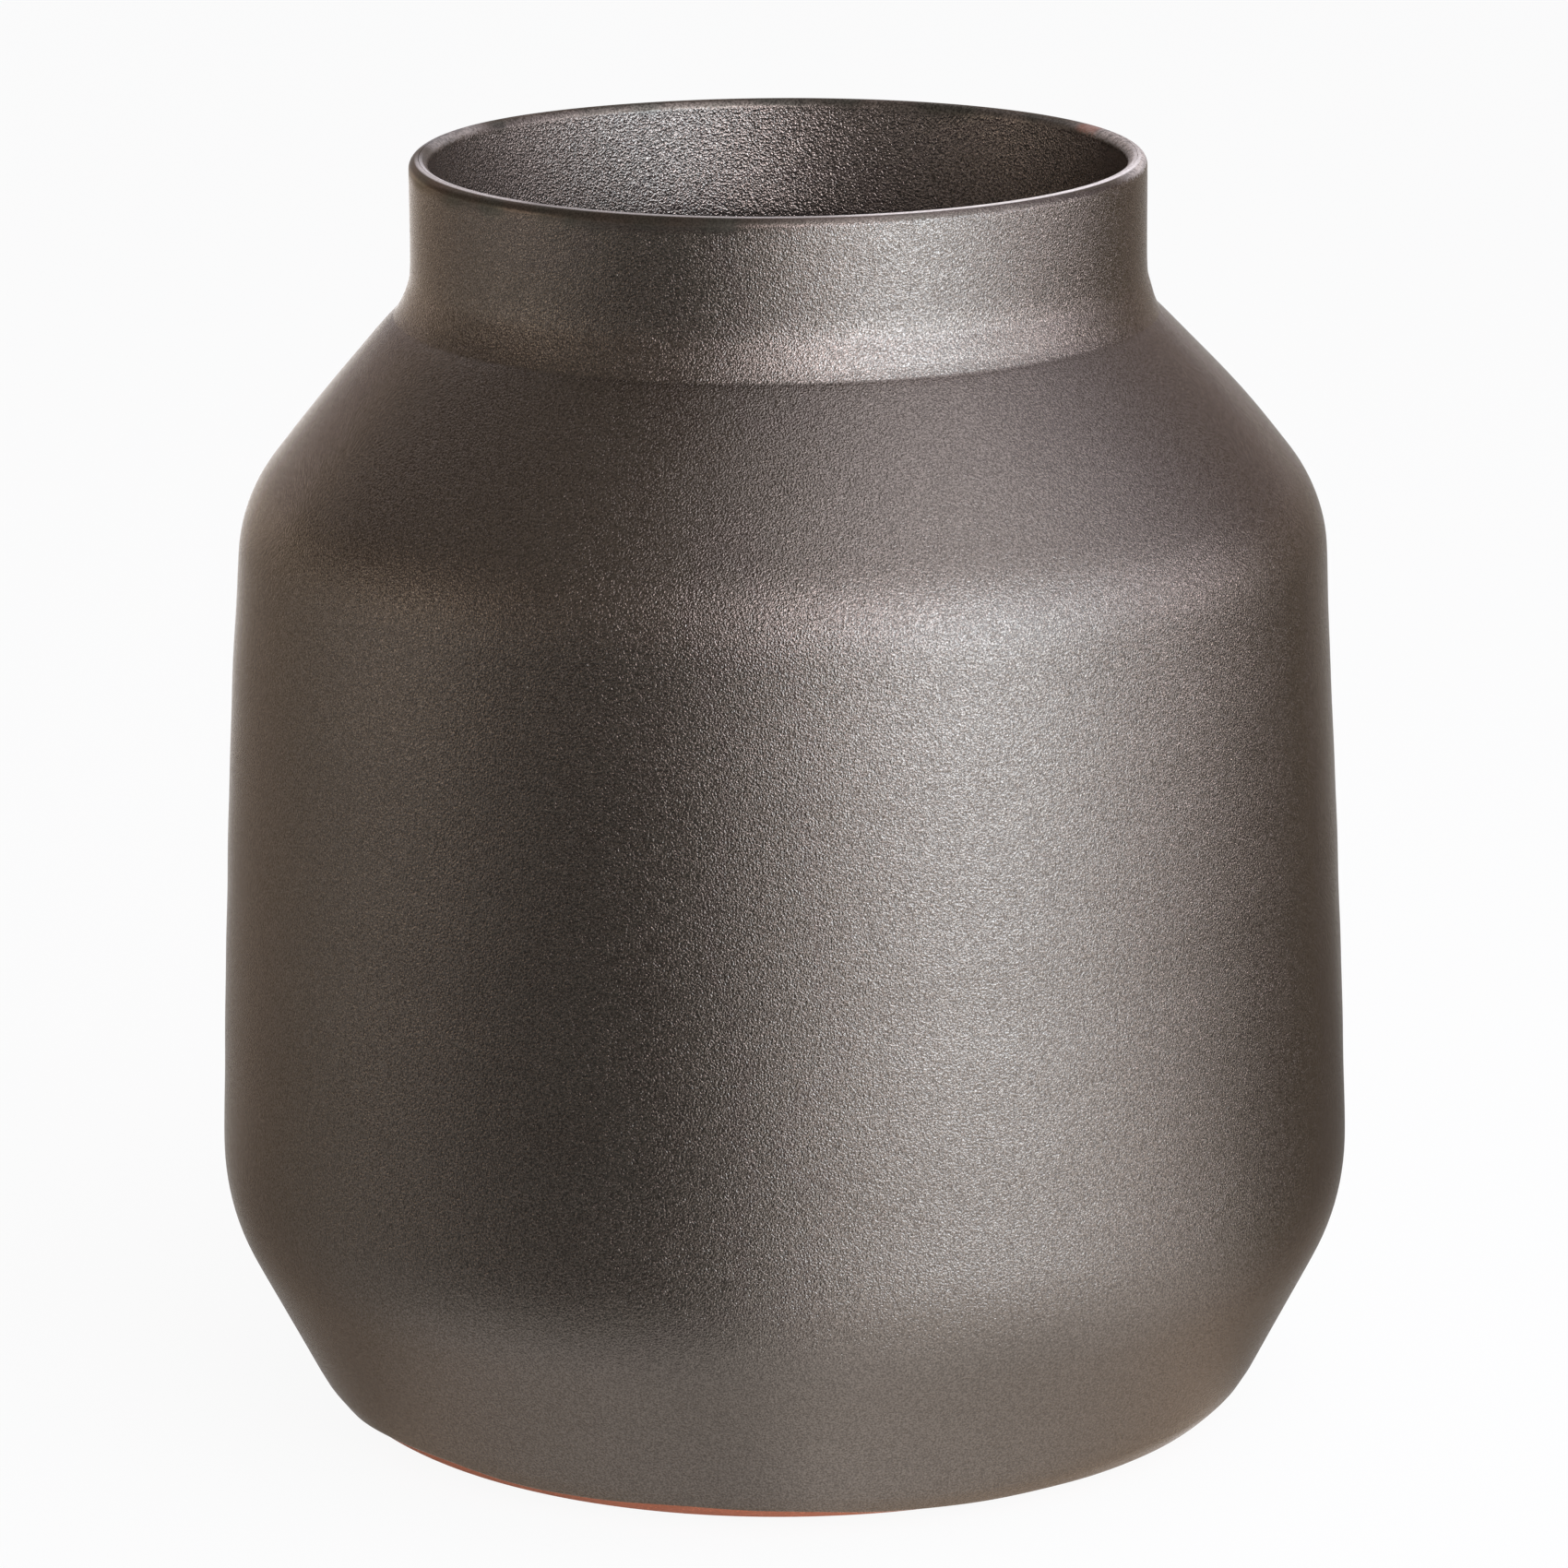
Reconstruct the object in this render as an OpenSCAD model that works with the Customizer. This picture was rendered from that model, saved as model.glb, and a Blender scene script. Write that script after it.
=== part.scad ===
// Wide-mouthed terracotta vase with a metallic glaze coat outside and inside
// Millimetres, +Z up, origin on the table under the middle of the pot

/* [Silhouette of the clay] */
// Height of the pot from the standing plane to the crown of the lip
pot_h = 278.25; // [228:0.25:340]
// Diameter at which the flank would run into the standing plane
foot_d = 201; // [184:1:216]
// Diameter at which the flank meets the wall
hip_d = 250; // [236:1:280]
// Diameter at which the wall meets the shoulder
shoulder_d = 236; // [216:1:250]
// Outer diameter of the neck
neck_d = 159; // [110:0.5:180]
// Height of the tapered flank
flank_h = 48; // [36:1:70]
// Height of the sloping shoulder
shoulder_h = 44.5; // [34:0.5:70]
// Height of the neck from its root to the lip
neck_h = 30.25; // [22:0.25:60]

/* [Curves of the clay] */
// Radius of the heel between standing plane and flank
heel_radius = 18.5; // [8:0.5:22]
// Radius of the hip between flank and wall
hip_radius = 48; // [20:0.5:60]
// Radius of the shoulder bend
shoulder_radius = 33; // [15:0.5:40]
// Radius of the hollow at the root of the neck
neck_radius = 14.5; // [6:0.5:18]
// Height of the wall's bulge over its chord lines
wall_bow = 1.2; // [0.4:0.1:4]
// Height of the shoulder's bulge over its chord lines
shoulder_bow = 1.2; // [0.4:0.1:3]

/* [Clay thickness] */
// Thickness of wall, shoulder and neck root
wall = 5.5; // [4:0.5:8]
// Thickness at the rounded lip
lip_t = 3.5; // [2.5:0.1:4]
// Thickness of the floor over the dish of the underside
floor_t = 7; // [5:0.5:12]

/* [Underside] */
// Width of the flat standing ring
ring_w = 24; // [20:1:32]
// Depth of the dished underside inside the ring
dish_depth = 2.5; // [1:0.5:4]
// Width of the slope from ring to dish
dish_slope_w = 10; // [8:1:16]
// Radius that softens both ends of that slope
dish_radius = 6; // [3:1:8]

/* [Glaze] */
// Thickness of both glaze coats
glaze_t = 0.4; // [0.3:0.05:0.8]
// Height of the bare foot below the outer glaze
bare_foot_h = 5.5; // [3:0.5:10]

/* [Felt feet] */
// Number of feet under the ring
feet = 4; // [3:1:8]
// Diameter of a foot
felt_d = 18; // [10:1:20]
// Thickness of a foot
felt_t = 1.5; // [1:0.25:3]
// Bevel round the lower edge of a foot
felt_bevel = 0.4; // [0.2:0.1:0.6]

/* [Hidden] */
$fn = 96;

// Turn of one facet of a bend, and the fewest facets of a slight bow
bend_step = 6;
bow_steps = 6;
// Facets of the half-round lip, even so that one corner is on the crown
lip_steps = 12;
// Share of the room between two bends that the arc of a bow takes up
bow_share = 0.9;

clay_color = [0.65, 0.41, 0.32];
outer_color = [0.40, 0.36, 0.34];
inner_color = [0.34, 0.31, 0.29];
felt_color = [0.20, 0.17, 0.15];

// Heights of the clay above the table
stand_z = felt_t;
hip_z = stand_z + flank_h;
lip_z = stand_z + pot_h;
neck_z = lip_z - neck_h;
shoulder_z = neck_z - shoulder_h;
floor_z = stand_z + dish_depth + floor_t;
lip_r = neck_d / 2;
lip_middle = [lip_r - lip_t / 2, lip_z - lip_t / 2];

// Vector helpers in the plane of radius and height
function point(p) = [p[0], p[1]];
function unit(v) = v / norm(v);
function left_of(v) = [-v[1], v[0]];
function side_normal(a, b) = left_of(unit(point(b) - point(a)));
function turn_at(a, b, c) =
    let (u = unit(point(b) - point(a)), v = unit(point(c) - point(b)))
    atan2(u[0] * v[1] - u[1] * v[0], u * v);
function flip(path) = [for (i = [len(path) - 1 : -1 : 0]) path[i]];

// Length from a rounded corner to where its arc starts
function tangent_length(a, b, c) = b[2] * tan(abs(turn_at(a, b, c)) / 2);

// Points of the arc that rounds corner b, whose third value is the radius
function bend(a, b, c) =
    let (
        turn = turn_at(a, b, c),
        side = sign(turn),
        start = point(b) - unit(point(b) - point(a)) * tangent_length(a, b, c),
        spoke = side_normal(a, b) * side * b[2],
        steps = max(bow_steps, ceil(abs(turn) / bend_step))
    )
    [for (i = [0 : steps])
        let (angle = turn * i / steps)
        start + spoke - [
            spoke[0] * cos(angle) - spoke[1] * sin(angle),
            spoke[0] * sin(angle) + spoke[1] * cos(angle)
        ]];

// Path through corners of [radius, height, bend radius], its two ends left sharp
function rounded(corners) =
    let (last = len(corners) - 1)
    concat(
        [point(corners[0])],
        [for (i = [1 : last - 1])
            each bend(corners[i - 1], corners[i], corners[i + 1])],
        [point(corners[last])]
    );

// Point that stands out from the middle of the stretch from a to b
function bow_point(a, b, height) = (point(a) + point(b)) / 2 - side_normal(a, b) * height;

// Corner that bulges the stretch from a to b, with an arc that clears the bends at both
function bow(before, a, b, after, height) =
    let (
        middle = bow_point(a, b, height),
        half = norm(point(b) - point(a)) / 2,
        taken = max(tangent_length(before, a, middle), tangent_length(middle, b, after))
    )
    [middle[0], middle[1], bow_share * (half - taken) * half / height];

// Corner b moved to the inner side by d1 before it and d2 after it
function inner_corner(a, b, c, d1, d2) =
    let (
        n1 = side_normal(a, b),
        n2 = side_normal(b, c),
        across = n1[0] * n2[1] - n1[1] * n2[0],
        turn = turn_at(a, b, c)
    )
    [
        b[0] + (d1 * n2[1] - d2 * n1[1]) / across,
        b[1] + (d2 * n1[0] - d1 * n2[0]) / across,
        max(b[2] - sign(turn) * max(d1, d2), wall)
    ];

// Path moved sideways by d, to the right of its direction
function beside(path, d) =
    let (last = len(path) - 1)
    [for (i = [0 : last])
        let (
            n1 = side_normal(path[max(i - 1, 0)], path[max(i, 1)]),
            n2 = side_normal(path[min(i, last - 1)], path[min(i + 1, last)])
        )
        path[i] - (n1 + n2) * d / (1 + n1 * n2)];

// Outer corners of the clay from the standing plane up to the lip
stand_corner = [0, stand_z];
heel_corner = [foot_d / 2, stand_z, heel_radius];
hip_corner = [hip_d / 2, hip_z, hip_radius];
shoulder_corner = [shoulder_d / 2, shoulder_z, shoulder_radius];
neck_corner = [lip_r, neck_z, neck_radius];
lip_corner = [lip_r, lip_middle[1]];
wall_corner = bow(
    heel_corner, hip_corner, shoulder_corner,
    bow_point(shoulder_corner, neck_corner, shoulder_bow), wall_bow
);
slope_corner = bow(
    wall_corner, shoulder_corner, neck_corner,
    lip_corner, shoulder_bow
);
outer_corners = [
    stand_corner, heel_corner, hip_corner, wall_corner,
    shoulder_corner, slope_corner, neck_corner, lip_corner
];

// Flat standing ring, which starts where the heel ends
ring_outer_r = foot_d / 2 - tangent_length(stand_corner, heel_corner, hip_corner);
ring_inner_r = ring_outer_r - ring_w;
felt_circle_r = (ring_outer_r + ring_inner_r) / 2;

// Dished underside, from the axis out to the standing ring
dish_z = stand_z + dish_depth;
underside = rounded([
    [0, dish_z],
    [ring_inner_r - dish_slope_w, dish_z, dish_radius],
    [ring_inner_r, stand_z, dish_radius],
    [ring_outer_r, stand_z]
]);

// Inner corners follow the outer ones at the wall's thickness, the floor at its own
last_corner = len(outer_corners) - 1;
inner_corners = concat(
    [[0, floor_z]],
    [for (i = [1 : last_corner - 1])
        inner_corner(
            outer_corners[i - 1], outer_corners[i], outer_corners[i + 1],
            i == 1 ? floor_z - stand_z : wall, wall
        )],
    [[lip_r - lip_t, lip_middle[1]]]
);

// Half-round lip from the outside over the crown to the inside
lip = [for (i = [0 : lip_steps])
    let (angle = 180 * i / lip_steps)
    lip_middle + lip_t / 2 * [cos(angle), sin(angle)]];

// Stretch of a path from one point to another
function stretch(path, from, to) = [for (i = [from : to]) path[i]];

// Clay face from the standing plane up the outside, over the lip and down to the floor
outside = rounded(outer_corners);
inside = flip(rounded(inner_corners));
clay_face = concat(
    outside,
    stretch(lip, 1, lip_steps),
    stretch(inside, 1, len(inside) - 1)
);
glaze_face = beside(clay_face, glaze_t);
ring_edge = 1;
crown = len(outside) - 1 + lip_steps / 2;
floor_middle = len(clay_face) - 1;

// Cross-section of a glaze coat between two points of the clay face
module coat(from, to) {
    polygon(concat(stretch(glaze_face, from, to), flip(stretch(clay_face, from, to))));
}

module clay_body() {
    color(clay_color)
        rotate_extrude()
            polygon(concat(underside, stretch(clay_face, ring_edge + 1, floor_middle)));
}

module outer_glaze() {
    glaze_line = stand_z + bare_foot_h;
    color(outer_color)
        rotate_extrude()
            intersection() {
                coat(ring_edge, crown);
                translate([0, glaze_line])
                    square([hip_d + shoulder_d, lip_z]);
            }
}

module inner_glaze() {
    color(inner_color)
        rotate_extrude()
            coat(crown, floor_middle);
}

module felt_foot(i) {
    face_r = felt_d / 2 - felt_bevel;
    color(felt_color)
        rotate(360 * (i - 0.5) / feet)
            translate([felt_circle_r, 0])
                rotate_extrude()
                    polygon([
                        [0, 0],
                        [face_r, 0],
                        [felt_d / 2, felt_bevel],
                        [felt_d / 2, felt_t],
                        [0, felt_t]
                    ]);
}

clay_body();
outer_glaze();
inner_glaze();
for (i = [1 : feet])
    felt_foot(i);
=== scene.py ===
"""Wide-mouthed terracotta vase with a metallic glaze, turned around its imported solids."""

import math

import bpy
import numpy as np
from mathutils import Matrix, Vector


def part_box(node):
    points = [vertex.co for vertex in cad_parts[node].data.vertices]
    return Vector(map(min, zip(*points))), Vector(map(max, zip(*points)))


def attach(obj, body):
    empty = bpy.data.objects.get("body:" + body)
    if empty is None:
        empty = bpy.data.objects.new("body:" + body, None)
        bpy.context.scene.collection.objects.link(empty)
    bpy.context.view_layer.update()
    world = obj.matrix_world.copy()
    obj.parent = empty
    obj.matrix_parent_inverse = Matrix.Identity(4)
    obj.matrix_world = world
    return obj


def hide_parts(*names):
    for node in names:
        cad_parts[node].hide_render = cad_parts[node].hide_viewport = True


bl_info = {
    "name": "Glazed Terracotta Vase",
    "version": (1, 0, 0),
    "blender": (4, 5, 0),
    "location": "View3D > Sidebar > Vase",
    "description": "Turns a terracotta vase with a metallic glaze and sets it in a plain studio",
    "category": "Add Mesh",
}

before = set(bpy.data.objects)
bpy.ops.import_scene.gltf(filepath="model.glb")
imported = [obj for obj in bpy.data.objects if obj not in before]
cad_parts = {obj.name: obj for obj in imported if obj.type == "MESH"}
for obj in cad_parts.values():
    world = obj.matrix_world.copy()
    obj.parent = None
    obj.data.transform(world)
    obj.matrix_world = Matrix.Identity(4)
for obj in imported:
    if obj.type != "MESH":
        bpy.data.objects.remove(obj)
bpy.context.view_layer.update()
BODY = "root"
FEET = sorted(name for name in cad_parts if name.startswith("felt_foot_"))
CLAY_LOW, CLAY_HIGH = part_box("clay_body")
COAT_LOW, COAT_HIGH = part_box("outer_glaze")
COAT_T = COAT_HIGH.z - CLAY_HIGH.z
STAND_Z = CLAY_LOW.z
LIP_Z = COAT_HIGH.z

# Facets of the turned meshes: points round a ring, longest step and largest turn from ring to ring
AROUND = 384
ANGLES = np.arange(AROUND) * 2 * math.pi / AROUND
RING_STEP = 0.003
RING_TURN = math.radians(3)
# Longest steps at the foot and inside, and how far above the glaze line the foot's go
FOOT_STEP = 0.0012
FOOT_TOP = 0.004
LINER_STEP = 0.0045
# Rings closer than this are one ring, and edges that turn by more than this stay sharp
SAME_RING = 3e-5
SHARP_TURN = math.radians(50)


# Section of the pot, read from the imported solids

# Straight stretch of the neck below the lip
NECK_STRAIGHT = 0.015
# How far the shoulder is off the neck at the crease, and how far the wall leans in at the bend below
CREASE_GAP = 0.0031
BEND_LEAN = math.radians(10)


def rings(node):
    """Distinct (radius, height) pairs of a turned node, in metres."""
    corners = np.array([vertex.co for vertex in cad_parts[node].data.vertices])
    pairs = np.column_stack((np.hypot(corners[:, 0], corners[:, 1]), corners[:, 2]))
    return np.unique(np.round(pairs, 6), axis=0)


def touching(points, others):
    """Mask of the points that are among the others too."""
    gaps = np.linalg.norm(points[:, None] - others[None], axis=2)
    return gaps.min(axis=1) < SAME_RING


def without_repeats(points):
    """The same chain of points without near repeats."""
    kept = [points[0]]
    for point in points[1:]:
        if np.linalg.norm(point - kept[-1]) > SAME_RING:
            kept.append(point)
    return np.array(kept)


def clay_section():
    """Chains of the clay's section: foot, outside up to the crown, and inside down to the floor."""
    clay = rings("clay_body")
    outer = touching(clay, rings("outer_glaze"))
    inner = touching(clay, rings("inner_glaze"))
    foot = clay[~(outer | inner)]
    foot = foot[np.argsort(foot[:, 0])]
    foot = np.concatenate(([[0.0, foot[0, 1]]], foot))
    outside = clay[outer]
    outside = outside[np.argsort(outside[:, 1])]
    inside = clay[inner]
    inside = inside[np.lexsort((-inside[:, 0], -inside[:, 1]))]
    inside = np.concatenate((inside, [[0.0, inside[-1, 1]]]))
    return foot, outside, inside


def crease_height(outside):
    """Height at which the shoulder comes close to the neck."""
    above = outside[np.argmax(outside[:, 0]):][::-1]
    neck = above[above[:, 1] > LIP_Z - NECK_STRAIGHT, 0].max()
    return float(np.interp(neck + CREASE_GAP, above[:, 0], above[:, 1]))


def bend_height(outside):
    """Height at which the wall first leans in towards the shoulder."""
    above = outside[np.argmax(outside[:, 0]):]
    lean = np.arctan2(-np.diff(above[:, 0]), np.diff(above[:, 1]))
    return float(above[np.argmax(lean > BEND_LEAN), 1])


class Curve:
    """Smooth curve through the points of a section, measured along its chords."""

    def __init__(self, points):
        self.points = without_repeats(points)
        chords = np.diff(self.points, axis=0)
        self.lengths = np.linalg.norm(chords, axis=1)
        self.marks = np.concatenate(([0.0], np.cumsum(self.lengths)))
        across = np.concatenate((chords[:1], self.points[2:] - self.points[:-2], chords[-1:]))
        self.tangents = across / np.linalg.norm(across, axis=1)[:, None]

    def length(self):
        """Length of the whole chain."""
        return self.marks[-1]

    def at(self, marks):
        """Points and right-hand normals at distances along the chain."""
        marks = np.asarray(marks, float)
        index = np.searchsorted(self.marks, marks, side="right") - 1
        index = np.clip(index, 0, len(self.lengths) - 1)
        size = self.lengths[index][..., None]
        t = ((marks - self.marks[index]) / self.lengths[index])[..., None]
        a, b = self.points[index], self.points[index + 1]
        u, v = self.tangents[index] * size, self.tangents[index + 1] * size
        point = (
            a * (2 * t**3 - 3 * t**2 + 1) + b * (3 * t**2 - 2 * t**3)
            + u * (t**3 - 2 * t**2 + t) + v * (t**3 - t**2)
        )
        slope = (
            (a - b) * (6 * t**2 - 6 * t)
            + u * (3 * t**2 - 4 * t + 1) + v * (3 * t**2 - 2 * t)
        )
        slope /= np.linalg.norm(slope, axis=-1, keepdims=True)
        return point, np.stack((slope[..., 1], -slope[..., 0]), axis=-1)

    def stops(self, start, end, step=RING_STEP):
        """Distances from start to end, closer together where the curve bends."""
        found = [start]
        for k, size in enumerate(self.lengths):
            cosine = float(np.clip(self.tangents[k] @ self.tangents[k + 1], -1, 1))
            count = max(1, math.ceil(size / step), math.ceil(math.acos(cosine) / RING_TURN))
            found.extend(self.marks[k] + size * np.arange(count) / count)
        found = np.array(sorted(found))
        inner = found[(found > start + SAME_RING) & (found < end - SAME_RING)]
        return np.concatenate(([start], inner, [end]))

    def marks_at(self, heights):
        """Distances along the chain at which it reaches heights on its way up."""
        lowest = len(self.points) - 1 - int(np.argmin(self.points[::-1, 1]))
        return np.interp(heights, self.points[lowest:, 1], self.marks[lowest:])


FOOT, OUTSIDE, INSIDE = clay_section()
OUTER_FACE = Curve(np.concatenate((FOOT, OUTSIDE)))
INNER_FACE = Curve(INSIDE)
GLAZE_MARK = float(OUTER_FACE.marks_at(COAT_LOW.z))
CREASE_Z = crease_height(OUTSIDE)
BEND_Z = bend_height(OUTSIDE)
# Close rings round the crease, and how far the others keep clear of them
CREASE_RINGS = float(OUTER_FACE.marks_at(CREASE_Z)) + np.linspace(-0.003, 0.003, 15)
CREASE_CLEAR = 0.0002


def with_crease(marks):
    """Distances up the outside, with close rings round the crease in place of their own there."""
    below = marks < CREASE_RINGS[0] - CREASE_CLEAR
    above = marks > CREASE_RINGS[-1] + CREASE_CLEAR
    return np.sort(np.concatenate((marks[below | above], CREASE_RINGS)))


def plain_wall():
    """Distances up the outside from above the foot to the crown, at the solid's own rings."""
    return with_crease(OUTER_FACE.marks[OUTER_FACE.marks > GLAZE_MARK + FOOT_TOP])


# What a user would change


class VaseShape(bpy.types.PropertyGroup):
    """Sizes of the hand-made irregularities."""

    lean: bpy.props.FloatProperty(
        name="Lean", description="How far the shoulder stands off the axis",
        default=0.0005, unit="LENGTH")
    root_swell: bpy.props.FloatProperty(
        name="Root swell", description="How far the neck's root swells on one side",
        default=0.0009, unit="LENGTH")
    lip_rise: bpy.props.FloatProperty(
        name="Lip rise", description="How far the lip rises at its highest",
        default=0.0007, unit="LENGTH")
    shoulder_swell: bpy.props.FloatProperty(
        name="Shoulder swell", description="How far the shoulder swells out",
        default=0.0005, unit="LENGTH")
    bend_ease: bpy.props.FloatProperty(
        name="Bend ease", description="How far the bend below the shoulder is eased in",
        default=0.00045, unit="LENGTH")
    crease: bpy.props.FloatProperty(
        name="Crease", description="Depth of the crease at the neck's root",
        default=0.0005, unit="LENGTH")
    throwing_rings: bpy.props.FloatProperty(
        name="Throwing rings", description="Height of the faint rings of the wheel",
        default=0.00006, unit="LENGTH")
    ovality: bpy.props.FloatProperty(
        name="Ovality", description="How far the wall is out of round",
        default=0.0002, unit="LENGTH")
    bare_foot: bpy.props.FloatProperty(
        name="Bare foot", description="Height of the bare foot below the glaze",
        default=0.0025, unit="LENGTH")
    line_waver: bpy.props.FloatProperty(
        name="Glaze line waver", description="How far the glaze line strays",
        default=0.0008, unit="LENGTH")
    bead_width: bpy.props.FloatProperty(
        name="Glaze bead", description="Width of the rounded edge of the glaze",
        default=0.0006, unit="LENGTH")
    turning_marks: bpy.props.FloatProperty(
        name="Turning marks", description="Depth of the tool marks underneath",
        default=0.00008, unit="LENGTH")


class VaseFinish(bpy.types.PropertyGroup):
    """Colours and grain of the finishes."""

    glaze: bpy.props.FloatVectorProperty(
        name="Glaze", description="Metallic glaze",
        size=3, subtype="COLOR", default=(0.16, 0.137, 0.121))
    edge: bpy.props.FloatVectorProperty(
        name="Edge tint", description="Tint of the glaze where it is seen at a low angle",
        size=3, subtype="COLOR", default=(0.6, 0.51, 0.44))
    olive: bpy.props.FloatVectorProperty(
        name="Olive", description="Olive breaks of the glaze under the lip",
        size=3, subtype="COLOR", default=(0.1, 0.093, 0.078))
    rust: bpy.props.FloatVectorProperty(
        name="Rust", description="Rusty breaks of the glaze under the lip",
        size=3, subtype="COLOR", default=(0.115, 0.091, 0.076))
    worn: bpy.props.FloatVectorProperty(
        name="Worn lip", description="Dull worn skin on the crown of the lip",
        size=3, subtype="COLOR", default=(0.42, 0.355, 0.32))
    # Painted highlight: colour of the pale line along the crest of the lip on the front
    painted_crest_highlight: bpy.props.FloatVectorProperty(
        name="Painted crest", description="Pale line rubbed along the crest of the lip",
        size=3, subtype="COLOR", default=(0.82, 0.74, 0.7))
    clay: bpy.props.FloatVectorProperty(
        name="Clay", description="Bare terracotta",
        size=3, subtype="COLOR", default=(0.52, 0.168, 0.082))
    felt: bpy.props.FloatVectorProperty(
        name="Felt", description="Felt feet",
        size=3, subtype="COLOR", default=(0.035, 0.026, 0.021))
    roughness: bpy.props.FloatProperty(
        name="Roughness", description="Roughness of the glaze",
        default=0.16, min=0, max=1, subtype="FACTOR")
    liner_roughness: bpy.props.FloatProperty(
        name="Liner roughness", description="Roughness of the glaze inside",
        default=0.2, min=0, max=1, subtype="FACTOR")
    lip_roughness: bpy.props.FloatProperty(
        name="Lip roughness", description="Roughness of the glaze on the lip",
        default=0.34, min=0, max=1, subtype="FACTOR")
    grain: bpy.props.FloatProperty(
        name="Grain", description="Size of the pebbles of the glaze",
        default=0.0004, unit="LENGTH")
    grain_height: bpy.props.FloatProperty(
        name="Grain height", description="Height of the pebbles of the glaze",
        default=0.00021, unit="LENGTH")
    grain_shade: bpy.props.FloatProperty(
        name="Grain shade", description="How much darker the pits between the pebbles are",
        default=0.28, min=0, max=1, subtype="FACTOR")
    liner_shade: bpy.props.FloatProperty(
        name="Liner shade", description="How much darker the pits between the pebbles are inside",
        default=0.48, min=0, max=1, subtype="FACTOR")


# Marks of the potter's hand: heights in metres, angles from +X

# Heights between which the rings and the ovality come in above the foot
THROWN_FROM = (STAND_Z + 0.010, STAND_Z + 0.060)
# Waves up the wall and round it, each row with its phases
WHEEL_WAVES = tuple(2 * math.pi / length for length in (0.021, 0.034, 0.055))
WHEEL_PHASES = (0.4, 2.1, 4.0)
OVAL_WAVES = (2, 3)
OVAL_PHASES = (0.8, 2.9)
# Each swell's height from the crease, and how far up and down it spreads
ROOT_SWELL_AT, ROOT_SWELL_SPREAD = -0.0015, 0.007
SHOULDER_SWELL_AT, SHOULDER_SWELL_SPREAD = -0.0205, 0.012
# Edge that stands out above the crease, and the crease itself: spread and share of the crease's depth
ROOT_EDGE_AT, ROOT_EDGE_SPREAD, ROOT_EDGE_SHARE = 0.005, 0.0034, 1.4
CREASE_SPREAD, CREASE_SHARE = 0.0009, 1.1
# Where the neck's root was pressed in deepest, how far round that spreads, and its share elsewhere
PRESSED_AT, PRESSED_SPREAD, PRESSED_LEAST = math.radians(-60), math.radians(80), 0.45
# How far up and down the bend is eased, and how far round to the front it comes in
BEND_SPREAD = 0.015
FRONT_FADE = 0.4
# Heights between which the shoulder's lean comes in and goes out again
LEAN_HEIGHTS = (0.165, 0.2, 0.222, 0.24)
# Where the lip stands higher, with its share of the rise, how far round that spreads, its share
# elsewhere, and how far below the lip it begins
LIFTED_AT = [(math.radians(155), 1.0), (math.radians(25), 0.35)]
LIFTED_SPREAD = math.radians(35)
LIFTED_LEAST = 0.25
LIFTED_DEPTH = 0.02
# Where the foot was wiped bare higher up, with its share, and how far round that goes
WIPED_AT = [(math.radians(-100), 4.0), (math.radians(-141), 5.2)]
WIPED_SPREAD = math.radians(19)
# Waves of the glaze line round the pot, their phases and their share of its waver
LINE_WAVES = (5, 9, 14, 23)
LINE_PHASES = (0.2, 1.7, 3.1, 5.0)
LINE_SHARE = 0.35
# Edge of the glaze: facets of its bead, reach of its waver, and place, spread and share of its roll
BEAD_FACETS = 7
WAVER_REACH = 0.014
ROLL_AT, ROLL_SPREAD, ROLL_SHARE = 0.0012, 0.0011, 0.5
# Radii between which the underside was turned, how high it lies at most, and the pitch of the tool
TURNED_RADII = (0.006, 0.012, 0.088, 0.092)
TURNED_HEIGHT = 0.006
TOOL_PITCH = 0.0055
TOOL_WAVES = (90, 180)
TOOL_PHASES = (0.3, 1.1)
# Half section of a felt disc, in shares of its radius and thickness, and how far its fibres stray
FELT_SECTION = [
    (0.0, 0.0), (0.45, 0.0), (0.8, 0.0), (0.93, 0.02), (0.975, 0.10), (0.99, 0.24), (1.0, 0.5),
    (0.995, 0.76), (0.985, 0.92), (0.96, 1.0), (0.8, 1.0), (0.45, 1.0), (0.0, 1.0),
]
FELT_FUZZ = 0.006
FELT_WAVES = (11, 17, 29, 43)


def ramp(value, low, high):
    """0 below low, 1 above high, smooth between."""
    t = np.clip((value - low) / (high - low), 0, 1)
    return t * t * (3 - 2 * t)


def between(value, start, full, fade, end):
    """0 before the start, 1 from full to fade, 0 past the end, smooth between."""
    return ramp(value, start, full) * (1 - ramp(value, fade, end))


def hump(distance, width):
    """1 at no distance, falling smoothly to 0 past the width."""
    return np.exp(-((distance / width) ** 2))


def away(angle, place):
    """Signed angle from a place round the pot."""
    return (angle - place + math.pi) % (2 * math.pi) - math.pi


def ripple(angle, counts, phases):
    """Sum of waves round the pot, within about 1 either way."""
    return sum(np.sin(n * angle + p) for n, p in zip(counts, phases)) / math.sqrt(2 * len(counts))


def shares_round(angle, places, spread):
    """Sum of the shares of some places round the pot, each fading over the spread."""
    return sum(share * hump(away(angle, place), spread) for place, share in places)


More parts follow.
